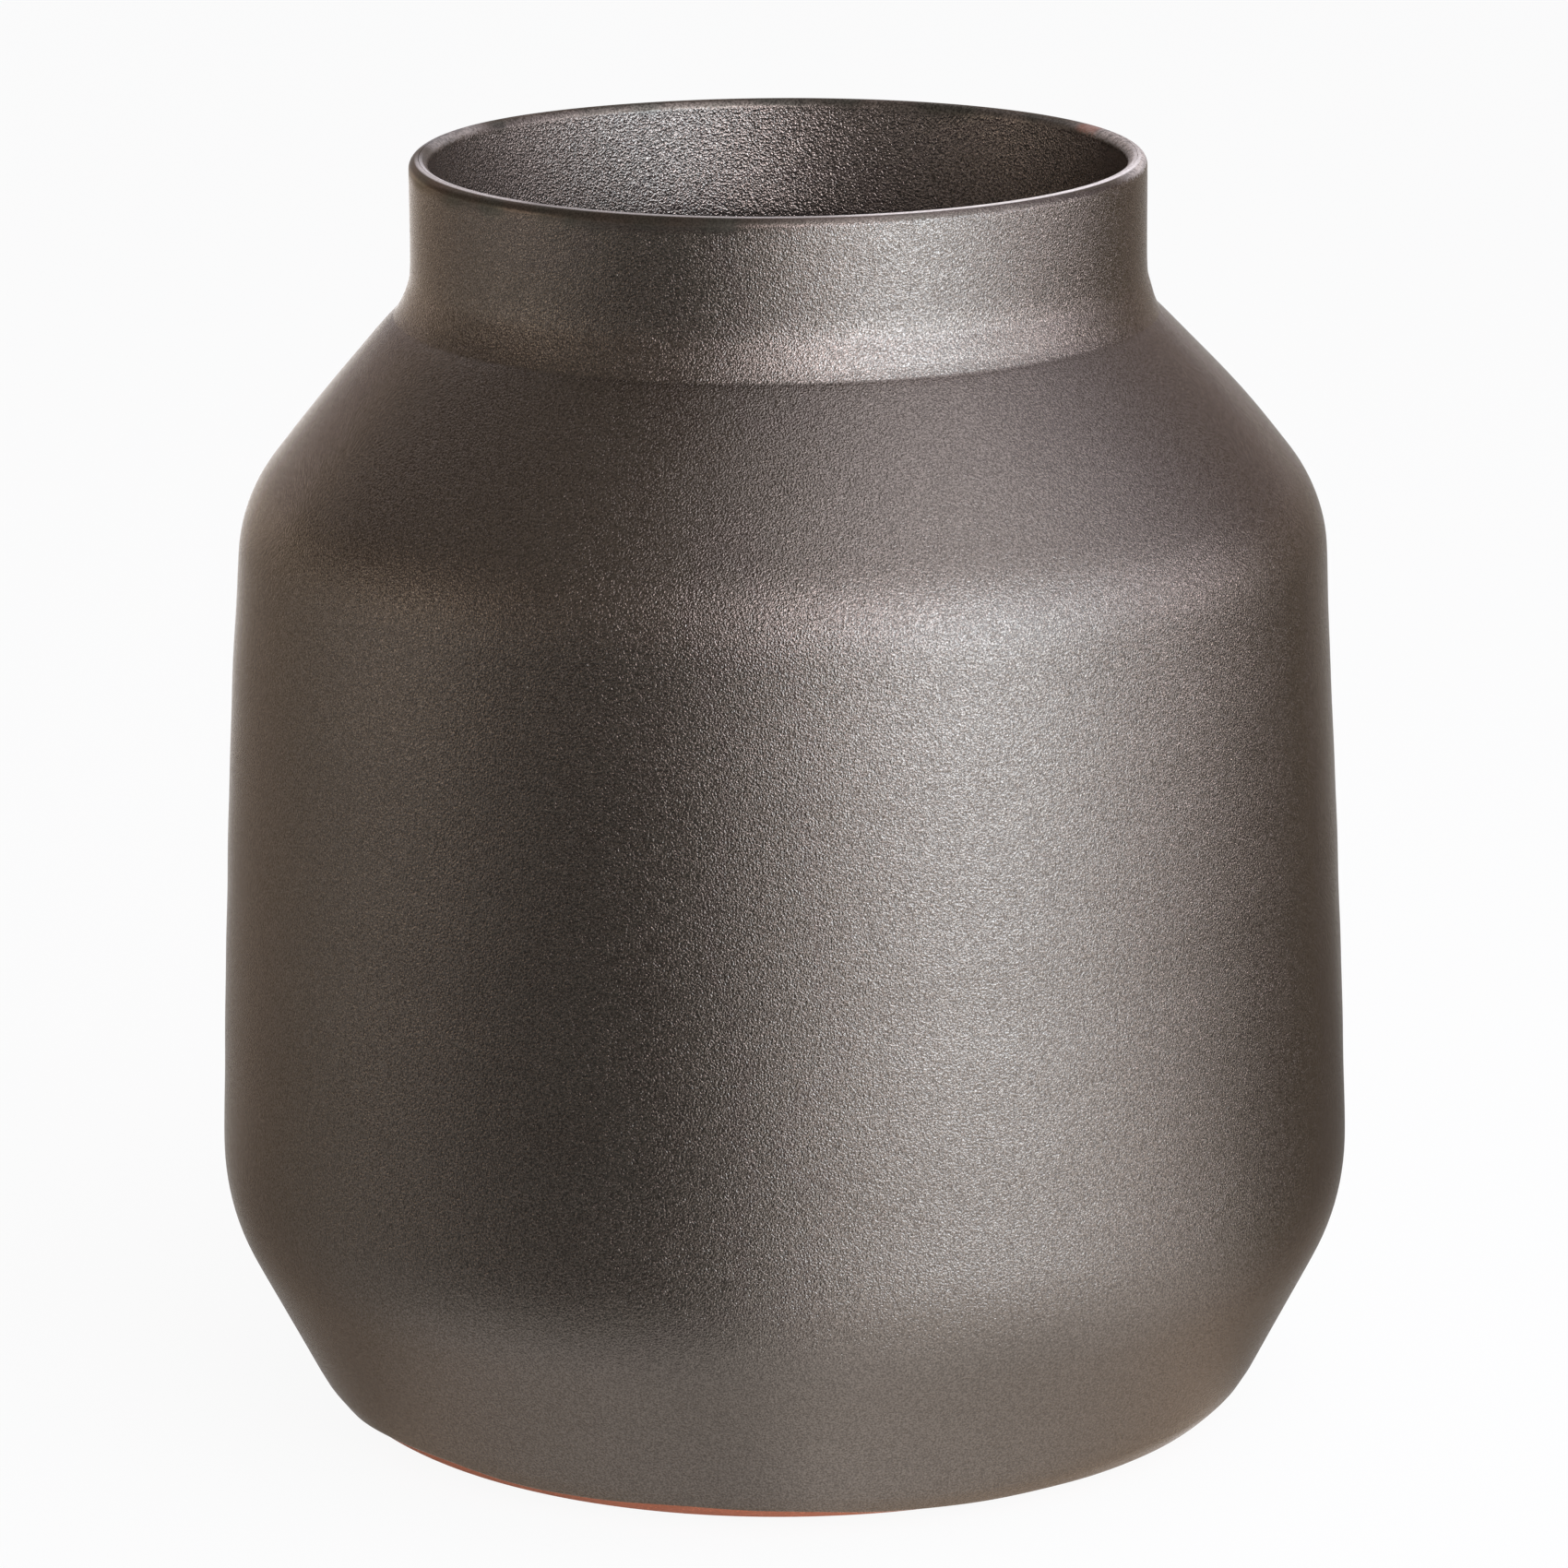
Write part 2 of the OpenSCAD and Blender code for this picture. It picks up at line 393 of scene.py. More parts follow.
def hand_thrown(points, shape):
    """Points moved as the potter's hand moved the clay, alike for every piece."""
    x, y, z = points.T
    angle = np.arctan2(y, x)
    from_crease = z - CREASE_Z
    on_left = np.clip(-np.cos(angle), 0, 1)
    in_front = ramp(-np.sin(angle), 0.0, FRONT_FADE)
    pressed = PRESSED_LEAST + (1 - PRESSED_LEAST) * hump(away(angle, PRESSED_AT), PRESSED_SPREAD)
    wheel = shape.throwing_rings * ripple(z, WHEEL_WAVES, WHEEL_PHASES)
    oval = shape.ovality * ripple(angle, OVAL_WAVES, OVAL_PHASES)
    root_edge = ROOT_EDGE_SHARE * hump(from_crease - ROOT_EDGE_AT, ROOT_EDGE_SPREAD)
    crease = CREASE_SHARE * np.exp(-np.abs(from_crease) / CREASE_SPREAD)
    out = ramp(z, *THROWN_FROM) * (wheel + oval)
    out += shape.root_swell * on_left * hump(from_crease - ROOT_SWELL_AT, ROOT_SWELL_SPREAD)
    out += shape.shoulder_swell * hump(from_crease - SHOULDER_SWELL_AT, SHOULDER_SWELL_SPREAD)
    out += shape.crease * pressed * (root_edge - crease)
    out -= shape.bend_ease * in_front * hump(z - BEND_Z, BEND_SPREAD)
    off_axis = shape.lean * between(z, *LEAN_HEIGHTS)
    lifted = LIFTED_LEAST + shares_round(angle, LIFTED_AT, LIFTED_SPREAD)
    up = shape.lip_rise * ramp(z, LIP_Z - LIFTED_DEPTH, LIP_Z) * lifted
    return np.column_stack((x + out * np.cos(angle) + off_axis, y + out * np.sin(angle), z + up))


def glaze_line(angle, shape):
    """Heights of the glaze's lower edge round the pot, where it was wiped higher on one side."""
    wiped = shares_round(angle, WIPED_AT, WIPED_SPREAD)
    stray = wiped + LINE_SHARE * ripple(angle, LINE_WAVES, LINE_PHASES)
    return STAND_Z + shape.bare_foot + shape.line_waver * stray


def tool_marks(points, depth):
    """How far the turning tool cut up into the underside at each (radius, height) pair."""
    radius, height = points.T
    under = between(radius, *TURNED_RADII) * (height < STAND_Z + TURNED_HEIGHT)
    ridges = np.sin(radius * 2 * math.pi / TOOL_PITCH) * ripple(radius, TOOL_WAVES, TOOL_PHASES)
    return depth * under * (1 - ridges)


def ring_points(points):
    """Points round the axis from (radius, height) pairs, one pair for each angle or one for all."""
    radius, height = np.broadcast_to(points, (AROUND, 2)).T
    return np.column_stack((radius * np.cos(ANGLES), radius * np.sin(ANGLES), height))


def pole_or_ring(pairs):
    """Ring of points, or one point where the pair is on the axis."""
    if np.ndim(pairs) == 1 and pairs[0] < SAME_RING:
        return np.array([[0.0, 0.0, pairs[1]]])
    return ring_points(pairs)


def turned(name, loop, values):
    """Closed mesh from a loop of rings; a ring of one point is a pole. Values are rows by name."""
    starts = np.cumsum([0] + [len(ring) for ring in loop])
    near = np.arange(AROUND)
    far = (near + 1) % AROUND
    faces = []
    for k, ring in enumerate(loop):
        following = loop[(k + 1) % len(loop)]
        low, high = starts[k], starts[(k + 1) % len(loop)]
        if len(ring) == AROUND and len(following) == AROUND:
            corners = (low + near, low + far, high + far, high + near)
            faces += np.column_stack(corners).tolist()
        elif len(ring) == AROUND:
            faces += np.column_stack((low + near, low + far, np.full(AROUND, high))).tolist()
        elif len(following) == AROUND:
            faces += np.column_stack((np.full(AROUND, low), high + far, high + near)).tolist()
    mesh = bpy.data.meshes.new(name)
    mesh.from_pydata(np.concatenate(loop).tolist(), [], faces)
    mesh.polygons.foreach_set("use_smooth", np.ones(len(mesh.polygons), bool))
    mesh.set_sharp_from_angle(angle=SHARP_TURN)
    for title, rows in values.items():
        column = np.concatenate([np.broadcast_to(row, len(ring)) for row, ring in zip(rows, loop)])
        field = mesh.attributes.new(title, "FLOAT", "POINT")
        field.data.foreach_set("value", column.astype(np.float32))
    piece = bpy.data.objects.new(name, mesh)
    bpy.context.scene.collection.objects.link(piece)
    return piece


def finish_piece(piece, material, node):
    """Gives a piece its material and body, and hides the imported node that it replaces."""
    piece.data.materials.append(material)
    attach(piece, BODY)
    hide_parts(node)
    return piece


# Materials

# Sizes of the glaze's patches of tone, of its streaks under the lip and of the crumbs of the worn lip
PATCH_SIZE, STREAK_SIZE, CRUMB_SIZE = 0.035, 0.012, 0.0011
# Smooth band under the lip: how far its edge strays, over what it ends, and where across it narrows
BAND_STRAY, BAND_FADE = 0.004, 0.0035
BAND_NARROWS = (-0.04, 0.05)
# Distances from the crown at which its wear and the painted highlight on the crest end, and how far the
# wear strays
CROWN_EDGE = (0.0042, 0.0030)
CREST_EDGE = (0.0009, 0.0005)
WEAR_STRAY = 0.003
# Height of the worn lip's crumbs, its roughness, and the share of a spot's reach that has it in full
CRUMB_HEIGHT = 0.0006
WORN_ROUGHNESS = 0.7
SPOT_CORE = 0.4
# Places on the lip where the glaze is worn dull, chipped down to the clay, or painted pale along the
# crest as a painted highlight, each with its reach and its share
WORN_SPOTS = [((0.077, 0.004, LIP_Z), 0.045, 1.0), ((-0.073, 0.026, LIP_Z), 0.022, 0.55)]
CHIPPED_SPOTS = [((0.069, 0.034, LIP_Z), 0.006, 0.4)]
PAINTED_CREST_SPOTS = [
    ((0.058, -0.054, LIP_Z), 0.08, 1.0),
    ((-0.012, -0.078, LIP_Z), 0.075, 0.5),
    ((-0.07, -0.036, LIP_Z), 0.045, 0.75),
]
# Place over the front of the neck's root where a highlight is painted into the glaze as a lighter
# tone, heights above the crease at which that comes in and goes out, and how much lighter
PAINTED_ROOT_HIGHLIGHT = [((0.03, -0.075, CREASE_Z + 0.007), 0.055, 1.0)]
ROOT_COMES, ROOT_GOES = (0.0, 0.003), (0.016, 0.007)
ROOT_HIGHLIGHT_LIFT = 1.2
# Sizes and heights of the clay's mottle and grog and of the felt's fibres
MOTTLE_SIZE = 0.012
GROG_SIZE, GROG_HEIGHT = 0.0007, 0.0002
FIBRE_SIZE, FIBRE_HEIGHT = 0.0009, 0.0003


def add(tree, kind, inputs=(), **settings):
    """New node with its settings, and its inputs set or linked."""
    made = tree.nodes.new(kind)
    for key, value in settings.items():
        setattr(made, key, value)
    for key, value in dict(inputs).items():
        if isinstance(value, bpy.types.NodeSocket):
            tree.links.new(value, made.inputs[key])
        else:
            made.inputs[key].default_value = value
    return made


def calc(tree, operation, *values):
    """Output of a Math node."""
    return add(tree, "ShaderNodeMath", enumerate(values), operation=operation).outputs[0]


def span(tree, value, low, high, bottom=0.0, top=1.0):
    """Output of a smooth Map Range node."""
    limits = {"From Min": low, "From Max": high, "To Min": bottom, "To Max": top}
    made = add(tree, "ShaderNodeMapRange", {"Value": value, **limits}, interpolation_type="SMOOTHSTEP")
    return made.outputs["Result"]


def blend(tree, share, first, second):
    """Output of a colour mix."""
    mixed = add(tree, "ShaderNodeMix", {0: share, 6: first, 7: second}, data_type="RGBA")
    return mixed.outputs[2]


def cloud(tree, place, size, detail=2.0, roughness=0.5, distortion=0.0):
    """Output of a noise whose lumps are about that size in metres."""
    look = {"Scale": 1 / size, "Detail": detail, "Roughness": roughness, "Distortion": distortion}
    return add(tree, "ShaderNodeTexNoise", {"Vector": place, **look}).outputs["Fac"]


def near_spots(tree, place, spots):
    """Output that has each spot's share at the spot and falls to 0 at its reach."""
    total = None
    for spot, reach, share in spots:
        ends = {0: place, 1: spot}
        gap = add(tree, "ShaderNodeVectorMath", ends, operation="DISTANCE").outputs["Value"]
        here = span(tree, gap, reach, SPOT_CORE * reach, 0.0, share)
        total = here if total is None else calc(tree, "MAXIMUM", total, here)
    return total


def rgba(color, lift=1.0):
    """Colour with alpha, made lighter or darker."""
    return (*(min(1.0, channel * lift) for channel in color), 1.0)


def new_material(name):
    """Material with its tree, shader and object coordinates."""
    material = bpy.data.materials.new(name)
    material.use_nodes = True
    tree = material.node_tree
    shader = tree.nodes["Principled BSDF"]
    place = add(tree, "ShaderNodeTexCoord").outputs["Object"]
    return material, tree, shader, place


def pebbled_wall(tree, crown, streaks, across, smooth_lip, narrower):
    """Output that is 0 in the smooth band under the lip, narrower on the right, and 1 below it."""
    from_lip = calc(tree, "ADD", crown, calc(tree, "MULTIPLY", streaks, BAND_STRAY))
    from_lip = calc(tree, "ADD", from_lip, span(tree, across, *BAND_NARROWS, 0.0, narrower))
    return span(tree, from_lip, smooth_lip, smooth_lip + BAND_FADE)


def painted_root_highlight(tree, place, height):
    """Output that says how much lighter the glaze is painted over the front of the neck's root, a
    painted highlight.
    """
    above = calc(tree, "SUBTRACT", height, CREASE_Z)
    on_root = calc(tree, "MULTIPLY", span(tree, above, *ROOT_COMES), span(tree, above, *ROOT_GOES))
    on_root = calc(tree, "MULTIPLY", on_root, near_spots(tree, place, PAINTED_ROOT_HIGHLIGHT))
    return span(tree, on_root, 0.0, 1.0, 1.0, ROOT_HIGHLIGHT_LIFT)


def lip_wear(tree, place, crown, crumbs):
    """Outputs that are 1 where the crown of the lip is worn, chipped, or painted with a pale highlight
    along its crest.
    """
    ragged = calc(tree, "ADD", crown, calc(tree, "MULTIPLY", crumbs, WEAR_STRAY))
    on_crown = span(tree, ragged, *CROWN_EDGE)
    on_crest = span(tree, crown, *CREST_EDGE)
    worn = calc(tree, "MULTIPLY", on_crown, near_spots(tree, place, WORN_SPOTS))
    chipped = calc(tree, "MULTIPLY", on_crown, near_spots(tree, place, CHIPPED_SPOTS))
    # Painted highlight along the crest of the lip on the front
    painted_crest_highlight = calc(tree, "MULTIPLY", on_crest, near_spots(tree, place, PAINTED_CREST_SPOTS))
    return worn, chipped, painted_crest_highlight


def glaze_material(name, finish, roughness, shade, metal=1.0, coarseness=1.0, lift=1.0, lip_lift=1.0,
                   smooth_lip=0.004, narrower=0.0):
    """Satin bronze glaze with a pebbled grain, smooth under the lip and worn in places on its crown,
    with a painted highlight along the crest of the lip and another over the front of the neck's root.
    """
    material, tree, shader, place = new_material(name)
    crown = add(tree, "ShaderNodeAttribute", attribute_name="from_crown").outputs["Fac"]
    across, _, height = add(tree, "ShaderNodeSeparateXYZ", {"Vector": place}).outputs
    patches = cloud(tree, place, PATCH_SIZE, 3.0)
    streaks = cloud(tree, place, STREAK_SIZE, 2.0)
    crumbs = cloud(tree, place, CRUMB_SIZE, 3.0, 0.6)
    grain = cloud(tree, place, finish.grain * coarseness, 1.0, 0.5, 0.3)
    pebbled = pebbled_wall(tree, crown, streaks, across, smooth_lip, narrower)
    worn, chipped, painted_crest_highlight = lip_wear(tree, place, crown, crumbs)
    wall = blend(tree, patches, rgba(finish.glaze, 0.95 * lift), rgba(finish.glaze, 1.05 * lift))
    streaked = span(tree, streaks, 0.35, 0.65)
    band = blend(tree, streaked, rgba(finish.olive, lip_lift), rgba(finish.rust, lip_lift))
    tone = blend(tree, pebbled, band, wall)
    pitted = span(tree, grain, 0.3, 0.7, 1 - shade, 1 + shade)
    # Painted highlight: the glaze is made lighter over the front of the neck's root
    root_highlighted = calc(tree, "MULTIPLY", pitted, painted_root_highlight(tree, place, height))
    tone = add(tree, "ShaderNodeVectorMath", {0: tone, "Scale": root_highlighted}, operation="SCALE")
    crumbled = span(tree, crumbs, 0.38, 0.6)
    dusty = blend(tree, crumbled, rgba(finish.worn, 0.55), rgba(finish.worn, 1.25))
    color = blend(tree, worn, tone.outputs["Vector"], dusty)
    color = blend(tree, chipped, color, rgba(finish.clay))
    # Painted highlight: pale line along the crest of the lip
    color = blend(tree, painted_crest_highlight, color, rgba(finish.painted_crest_highlight))
    tree.links.new(color, shader.inputs["Base Color"])
    shader.inputs["Specular Tint"].default_value = rgba(finish.edge)
    matt = calc(tree, "MAXIMUM", calc(tree, "MAXIMUM", worn, chipped), painted_crest_highlight)
    tree.links.new(span(tree, matt, 0.0, 1.0, metal, 0.0), shader.inputs["Metallic"])
    satin = span(tree, pebbled, 0.0, 1.0, finish.lip_roughness, roughness)
    rough = calc(tree, "MAXIMUM", satin, calc(tree, "MULTIPLY", matt, WORN_ROUGHNESS))
    tree.links.new(rough, shader.inputs["Roughness"])
    pebbles = add(tree, "ShaderNodeBump", {
        "Strength": pebbled, "Height": grain, "Distance": finish.grain_height * coarseness})
    crumbly = add(tree, "ShaderNodeBump", {
        "Strength": matt, "Height": crumbs, "Distance": CRUMB_HEIGHT,
        "Normal": pebbles.outputs["Normal"]})
    tree.links.new(crumbly.outputs["Normal"], shader.inputs["Normal"])
    return material


def clay_material(finish):
    """Bare fired clay with grog and a dusty bloom."""
    material, tree, shader, place = new_material("bare_terracotta")
    mottle = cloud(tree, place, MOTTLE_SIZE, 4.0, 0.6)
    grog = cloud(tree, place, GROG_SIZE, 2.0, 0.6)
    speck = span(tree, grog, 0.62, 0.7)
    body = blend(tree, mottle, rgba(finish.clay, 0.8), rgba(finish.clay, 1.2))
    color = blend(tree, speck, body, rgba(finish.clay, 1.7))
    tree.links.new(color, shader.inputs["Base Color"])
    shader.inputs["Roughness"].default_value = 0.88
    bump = add(tree, "ShaderNodeBump", {"Strength": 0.6, "Distance": GROG_HEIGHT, "Height": grog})
    tree.links.new(bump.outputs["Normal"], shader.inputs["Normal"])
    return material


def felt_material(finish):
    """Pressed felt with loose fibres."""
    material, tree, shader, place = new_material("pressed_felt")
    combed = add(tree, "ShaderNodeMapping", {
        "Vector": place, "Scale": (1.0, 3.0, 1.0), "Rotation": (0.0, 0.0, 0.6)}).outputs["Vector"]
    fibre = cloud(tree, combed, FIBRE_SIZE, 4.0, 0.7, 1.5)
    color = blend(tree, fibre, rgba(finish.felt, 0.6), rgba(finish.felt, 1.6))
    tree.links.new(color, shader.inputs["Base Color"])
    shader.inputs["Roughness"].default_value = 0.95
    bump = add(tree, "ShaderNodeBump", {"Strength": 0.8, "Distance": FIBRE_HEIGHT, "Height": fibre})
    tree.links.new(bump.outputs["Normal"], shader.inputs["Normal"])
    return material


# Studio

# Camera, from the outline of the pot in a photo of this many pixels, with its angles in radians
PHOTO_PX = 1700
CAMERA_FOCUS_PX = 8000
CAMERA_PITCH = 0.2502
CAMERA_ROLL = 0.0069
CAMERA_SPOT = Vector((0.0004, -1.5823, 0.5425 + STAND_Z))
CAMERA_FAR = 100.0

# Middle of the pot, which the lights face, and the light from all round
AIM = Vector((0.0, 0.0, 0.14))
AIR = (0.28, 0.252, 0.232)
# Name, degrees round from the camera's side and up, distance, width, height, radiance, colour
LIGHTS = [
    ("key_softbox", 40.0, 8.5, 1.5, 0.95, 0.72, 6.3, (0.83, 1.0, 1.17)),
    ("front_softbox", 12.0, 23.5, 1.5, 0.63, 0.55, 4.8, (1.02, 0.95, 1.03)),
    ("right_strip", 80.0, 17.5, 1.5, 1.04, 0.24, 3.2, (0.96, 0.96, 1.08)),
    ("right_box", 90.0, 4.0, 1.5, 0.34, 0.36, 6.6, (0.98, 0.96, 1.06)),
    ("right_high", 107.0, 37.0, 1.5, 0.75, 1.4, 0.39, (0.92, 0.88, 1.2)),
    ("high_softbox", 48.0, 46.0, 1.5, 2.0, 0.97, 1.48, (0.94, 0.99, 1.07)),
    ("top_softbox", 90.0, 74.0, 1.5, 1.35, 0.7, 1.39, (0.95, 0.96, 1.09)),
    ("left_fill", -83.0, 8.5, 1.5, 0.5, 0.45, 1.2, (1.18, 1.0, 0.82)),
    ("rear_left_softbox", -145.0, 3.0, 1.5, 0.5, 0.3, 0.8, (0.97, 1.01, 1.02)),
    ("rear_wall", 180.0, 28.0, 4.0, 6.6, 4.7, 0.58, (0.86, 0.95, 1.19)),
]

# Floor: half its width, its own tone, and the share of white that it shows
FLOOR_REACH = 9.0
FLOOR_TONE = (0.8, 0.8, 0.8, 1.0)
FLOOR_WHITE = 0.93
# Card over the floor: height, radii of its rings, degrees from spoke to spoke, where far out begins
CARD_Z = 0.0004
CARD_RINGS = (0.07, 0.11, 0.14, 0.17, 0.21, 0.25, 0.28, 0.5, 3.0)
CARD_STEP = 4
CARD_FAR = (0.14, 0.28)
# Degrees round at which the card's sides start, are full, fade and end, with tone and gain far out
LIT_SIDE, LIT_TONE, LIT_FAR = (-8, 8, 66, 86), 1.12, 0.58
UNLIT_SIDE, UNLIT_TONE, UNLIT_FAR = (-72, -52, -8, 8), 0.78, -0.64
# Tone and gain close in of the grey rest, what the left adds to both, and where the left starts
GREY_TONE, GREY_NEAR = 0.33, 0.22
LEFT_TONE, LEFT_NEAR = 0.11, -0.14
LEFT_FROM = (165, 180)
# Brighter patches of the grey rest: behind, beside it on the left, and at the rear right
CARD_PATCHES = [((166, 188, 188, 212), 1.4), ((192, 208, 230, 246), 0.2), ((140, 155, 168, 186), 0.34)]


def toward(azimuth, elevation=0.0):
    """Unit vector at degrees round from the camera's side, to its right, and up."""
    turn, rise = math.radians(azimuth), math.radians(elevation)
    level = math.cos(rise)
    return Vector((math.sin(turn) * level, -math.cos(turn) * level, math.sin(rise)))


def make_softbox(name, azimuth, elevation, distance, width, height, radiance, color):
    """Rectangular light of a given radiance that faces the pot."""
    lamp = bpy.data.lights.new(name, "AREA")
    lamp.shape = "RECTANGLE"
    lamp.size, lamp.size_y = width, height
    lamp.energy = radiance * math.pi * width * height
    lamp.color = color
    box = bpy.data.objects.new(name, lamp)
    bpy.context.scene.collection.objects.link(box)
    out = toward(azimuth, elevation)
    box.location = AIM + out * distance
    box.rotation_euler = (-out).to_track_quat("-Z", "Y").to_euler()
    box.visible_camera = False
    return box


def make_air(scene):
    """Even light from all round."""
    world = bpy.data.worlds.new("studio_air")
    world.use_nodes = True
    world.node_tree.nodes["Background"].inputs["Color"].default_value = (*AIR, 1.0)
    scene.world = world


def make_camera(scene):
    """Camera that stands where the photo was taken."""
    lens = bpy.data.cameras.new("camera")
    lens.lens = CAMERA_FOCUS_PX / PHOTO_PX * lens.sensor_width
    lens.clip_end = CAMERA_FAR
    camera = bpy.data.objects.new("camera", lens)
    scene.collection.objects.link(camera)
    camera.matrix_world = (
        Matrix.Translation(CAMERA_SPOT)
        @ Matrix.Rotation(math.pi / 2 - CAMERA_PITCH, 4, "X")
        @ Matrix.Rotation(-CAMERA_ROLL, 4, "Z")
    )
    scene.camera = camera


def card_tone(azimuth, reach):
    """Brightness of the floor card: white on the key's side and close behind on the left, grey round
    the rest, dark far out front left."""
    far = ramp(reach, *CARD_FAR)
    turn = azimuth % 360
    lit = between(azimuth, *LIT_SIDE)
    unlit = between(azimuth, *UNLIT_SIDE)
    left = ramp(turn, *LEFT_FROM)
    grey = GREY_TONE + LEFT_TONE * left + (GREY_NEAR + LEFT_NEAR * left) * (1 - far)
    for stretch, tone in CARD_PATCHES:
        grey = grey + tone * between(turn, *stretch)
    sides = (LIT_TONE + LIT_FAR * far) * lit + (UNLIT_TONE + UNLIT_FAR * far) * unlit
    return grey * (1 - lit - unlit) + sides


def make_floor_card():
    """Graded card on the floor round the pot, which only reflections show."""
    azimuths = np.arange(-180, 180, CARD_STEP)
    count = len(azimuths)
    near = np.arange(count)
    far = (near + 1) % count
    points, tones, faces = [], [], []
    for k, reach in enumerate(CARD_RINGS):
        spots = [toward(float(azimuth)) * reach for azimuth in azimuths]
        points += [(spot.x, spot.y, CARD_Z) for spot in spots]
        tones.append(card_tone(azimuths.astype(float), reach))
        if k:
            low, high = (k - 1) * count, k * count
            faces += np.column_stack((low + near, high + near, high + far, low + far)).tolist()
    mesh = bpy.data.meshes.new("floor_card")
    mesh.from_pydata(points, [], faces)
    column = np.concatenate(tones).astype(np.float32)
    mesh.attributes.new("tone", "FLOAT", "POINT").data.foreach_set("value", column)
    material = bpy.data.materials.new("graded_card")
    material.use_nodes = True
    tree = material.node_tree
    tree.nodes.clear()
    tone = add(tree, "ShaderNodeAttribute", attribute_name="tone").outputs["Fac"]
    glow = add(tree, "ShaderNodeEmission", {"Strength": tone})
    add(tree, "ShaderNodeOutputMaterial", {"Surface": glow.outputs[0]})
    mesh.materials.append(material)
    card = bpy.data.objects.new("floor_card", mesh)
    bpy.context.scene.collection.objects.link(card)
    card.visible_camera = False
    card.visible_diffuse = False
    card.visible_shadow = False
    return card


def make_floor():
    """Pale floor that is white to the camera and to reflections, and keeps the shadow."""
    mesh = bpy.data.meshes.new("studio_floor")
    sides = [(-1, -1), (1, -1), (1, 1), (-1, 1)]
    mesh.from_pydata([(x * FLOOR_REACH, y * FLOOR_REACH, 0.0) for x, y in sides], [], [(0, 1, 2, 3)])
    floor = bpy.data.objects.new("studio_floor", mesh)
    bpy.context.scene.collection.objects.link(floor)
    material = bpy.data.materials.new("pale_floor")
    material.use_nodes = True
    tree = material.node_tree
    tree.nodes.clear()
    light = add(tree, "ShaderNodeLightPath").outputs
    mirrored = calc(tree, "MAXIMUM", light["Is Glossy Ray"], light["Is Transmission Ray"])
    seen = calc(tree, "MAXIMUM", light["Is Camera Ray"], mirrored)
    matt = add(tree, "ShaderNodeBsdfDiffuse", {"Color": FLOOR_TONE}).outputs[0]
    white = {"Color": (1.0, 1.0, 1.0, 1.0), "Strength": 1.0}
    glow = add(tree, "ShaderNodeEmission", white).outputs[0]
    share = calc(tree, "MULTIPLY", seen, FLOOR_WHITE)
    mixed = add(tree, "ShaderNodeMixShader", {0: share, 1: matt, 2: glow}).outputs[0]
    gone = add(tree, "ShaderNodeBsdfTransparent").outputs[0]
    below = add(tree, "ShaderNodeNewGeometry").outputs["Backfacing"]
    top = add(tree, "ShaderNodeMixShader", {0: below, 1: mixed, 2: gone}).outputs[0]
    add(tree, "ShaderNodeOutputMaterial", {"Surface": top})
    mesh.materials.append(material)
    return floor


# Operators and panel


class VASE_OT_clay_pot(bpy.types.Operator):
    """Turn the clay pot with its foot, dished underside, walls and lip"""

    bl_idname = "vase.clay_pot"
    bl_label = "Clay Pot"

    def execute(self, context):
        shape, finish = context.scene.vase_shape, context.scene.vase_finish
        foot = OUTER_FACE.stops(0.0, GLAZE_MARK + FOOT_TOP, FOOT_STEP)
        points, _ = OUTER_FACE.at(np.concatenate((foot, plain_wall())))
        points = np.concatenate((points, INNER_FACE.points[1:]))
        points[:, 1] += tool_marks(points, shape.turning_marks)
        loop = [hand_thrown(pole_or_ring(pair), shape) for pair in points]
        piece = turned("clay_pot", loop, {})
        finish_piece(piece, clay_material(finish), "clay_body")
        return {"FINISHED"}


class VASE_OT_glaze_outside(bpy.types.Operator):
    """Lay the glaze over the outside, from its wavering line to the crown of the lip"""

    bl_idname = "vase.glaze_outside"
    bl_label = "Glaze Outside"

    def execute(self, context):
        shape, finish = context.scene.vase_shape, context.scene.vase_finish
        bead = shape.bead_width
        crown = OUTER_FACE.length()
        waver = OUTER_FACE.marks_at(glaze_line(ANGLES, shape)) - GLAZE_MARK
        edge = bead * (1 - np.cos(np.linspace(0, math.pi / 2, BEAD_FACETS)))
        wall = with_crease(OUTER_FACE.stops(GLAZE_MARK + bead, crown))
        loop, distance = [], []
        for mark in np.concatenate((GLAZE_MARK + edge[:-1], wall)):
            risen = mark - GLAZE_MARK
            points, normals = OUTER_FACE.at(mark + waver * (1 - ramp(risen, 0.0, WAVER_REACH)))
            round_off = math.sqrt(max(0.0, 1 - (1 - min(1.0, risen / bead)) ** 2))
            roll = 1 + ROLL_SHARE * hump(risen - ROLL_AT, ROLL_SPREAD)
            points = points + normals * COAT_T * round_off * roll
            loop.append(hand_thrown(ring_points(points), shape))
            distance.append(crown - mark)
        for mark in plain_wall()[::-1]:
            points, _ = OUTER_FACE.at(mark)
            loop.append(hand_thrown(ring_points(points), shape))
            distance.append(crown - mark)
        piece = turned("glaze_coat_outside", loop, {"from_crown": distance})
        glaze = glaze_material("bronze_glaze", finish, finish.roughness, finish.grain_shade,
                               narrower=0.0026)
        finish_piece(piece, glaze, "outer_glaze")
        return {"FINISHED"}


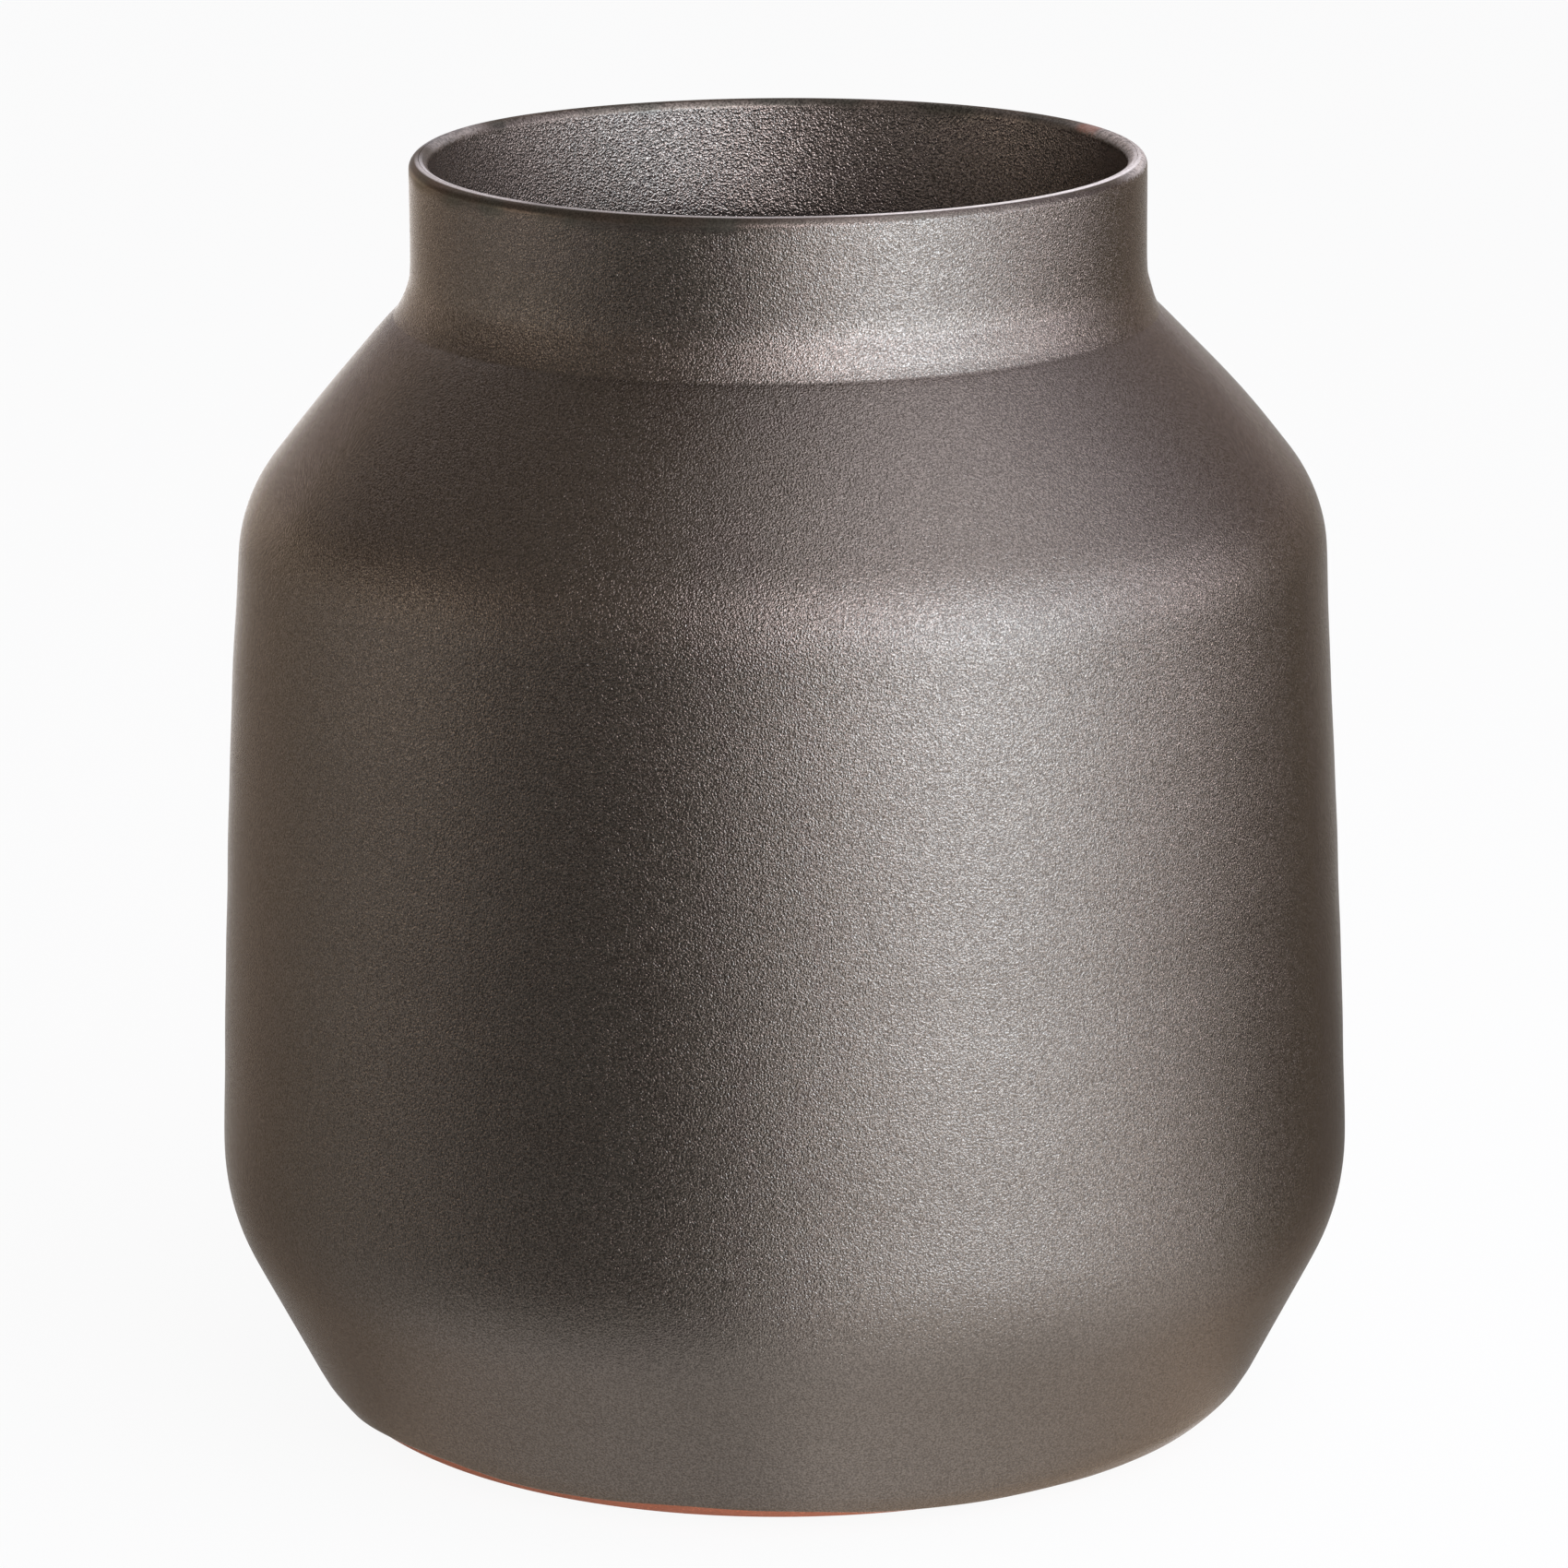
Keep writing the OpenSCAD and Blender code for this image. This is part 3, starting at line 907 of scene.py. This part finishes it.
class VASE_OT_glaze_inside(bpy.types.Operator):
    """Lay the glaze over the inside, from the crown of the lip to the floor"""

    bl_idname = "vase.glaze_inside"
    bl_label = "Glaze Inside"

    def execute(self, context):
        shape, finish = context.scene.vase_shape, context.scene.vase_finish
        front = INNER_FACE.stops(0.0, INNER_FACE.length(), LINER_STEP)
        points, normals = INNER_FACE.at(front)
        pairs = np.concatenate((points + normals * COAT_T, INNER_FACE.points[::-1]))
        pairs[pairs[:, 0] < SAME_RING, 0] = 0.0
        loop = [hand_thrown(pole_or_ring(pair), shape) for pair in pairs]
        distance = np.concatenate((front, INNER_FACE.marks[::-1]))
        piece = turned("glaze_coat_inside", loop, {"from_crown": distance})
        # Painted light: the glaze inside is made 1.65 times lighter than outside, and painted shade:
        # its band under the lip 0.85 times as light
        glaze = glaze_material("bronze_liner_glaze", finish, finish.liner_roughness, finish.liner_shade,
                               metal=0.85, coarseness=1.2, lift=1.65, lip_lift=0.85, smooth_lip=0.0024)
        finish_piece(piece, glaze, "inner_glaze")
        return {"FINISHED"}


class VASE_OT_felt_feet(bpy.types.Operator):
    """Stick the felt discs under the standing ring"""

    bl_idname = "vase.felt_feet"
    bl_label = "Felt Feet"

    def execute(self, context):
        material = felt_material(context.scene.vase_finish)
        for number, node in enumerate(FEET, 1):
            low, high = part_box(node)
            middle = (low + high) / 2
            radius, thick = (high.x - low.x) / 2, high.z - low.z
            phases = (number, 2.0 * number, 0.7, 1.9)
            fuzz = 1 - FELT_FUZZ * (1 + ripple(ANGLES, FELT_WAVES, phases))
            loop = []
            for reach, rise in FELT_SECTION:
                heights = np.full(AROUND, low.z + thick * rise)
                pairs = np.column_stack((radius * reach * fuzz, heights))
                ring = pole_or_ring(pairs[0] if reach == 0 else pairs)
                loop.append(ring + np.array([middle.x, middle.y, 0.0]))
            piece = turned(f"felt_disc_{number}", loop, {})
            finish_piece(piece, material, node)
        return {"FINISHED"}


class VASE_OT_studio(bpy.types.Operator):
    """Set the floor, the lights and the camera"""

    bl_idname = "vase.studio"
    bl_label = "Studio"

    def execute(self, context):
        make_floor()
        make_floor_card()
        for light in LIGHTS:
            make_softbox(*light)
        make_air(context.scene)
        make_camera(context.scene)
        context.scene.view_settings.view_transform = "Standard"
        return {"FINISHED"}


class VASE_PT_parts(bpy.types.Panel):
    """Sidebar list of the pieces and the studio"""

    bl_idname = "VASE_PT_parts"
    bl_label = "Vase"
    bl_space_type = "VIEW_3D"
    bl_region_type = "UI"
    bl_category = "Vase"

    def draw(self, context):
        for group in (context.scene.vase_shape, context.scene.vase_finish):
            for title in group.__annotations__:
                self.layout.prop(group, title)
        for operator in OPERATORS:
            self.layout.operator(operator.bl_idname)


OPERATORS = (
    VASE_OT_clay_pot,
    VASE_OT_glaze_outside,
    VASE_OT_glaze_inside,
    VASE_OT_felt_feet,
    VASE_OT_studio,
)
CLASSES = (VaseShape, VaseFinish, *OPERATORS, VASE_PT_parts)


def register():
    """Registers the classes and hangs the settings on the scene."""
    for item in CLASSES:
        bpy.utils.register_class(item)
    bpy.types.Scene.vase_shape = bpy.props.PointerProperty(type=VaseShape)
    bpy.types.Scene.vase_finish = bpy.props.PointerProperty(type=VaseFinish)


def unregister():
    """Takes the settings and the classes away again."""
    del bpy.types.Scene.vase_finish
    del bpy.types.Scene.vase_shape
    for item in reversed(CLASSES):
        bpy.utils.unregister_class(item)


def main():
    """Builds the vase and its studio."""
    register()
    bpy.ops.vase.clay_pot()
    bpy.ops.vase.glaze_outside()
    bpy.ops.vase.glaze_inside()
    bpy.ops.vase.felt_feet()
    bpy.ops.vase.studio()


if __name__ == "__main__":
    main()
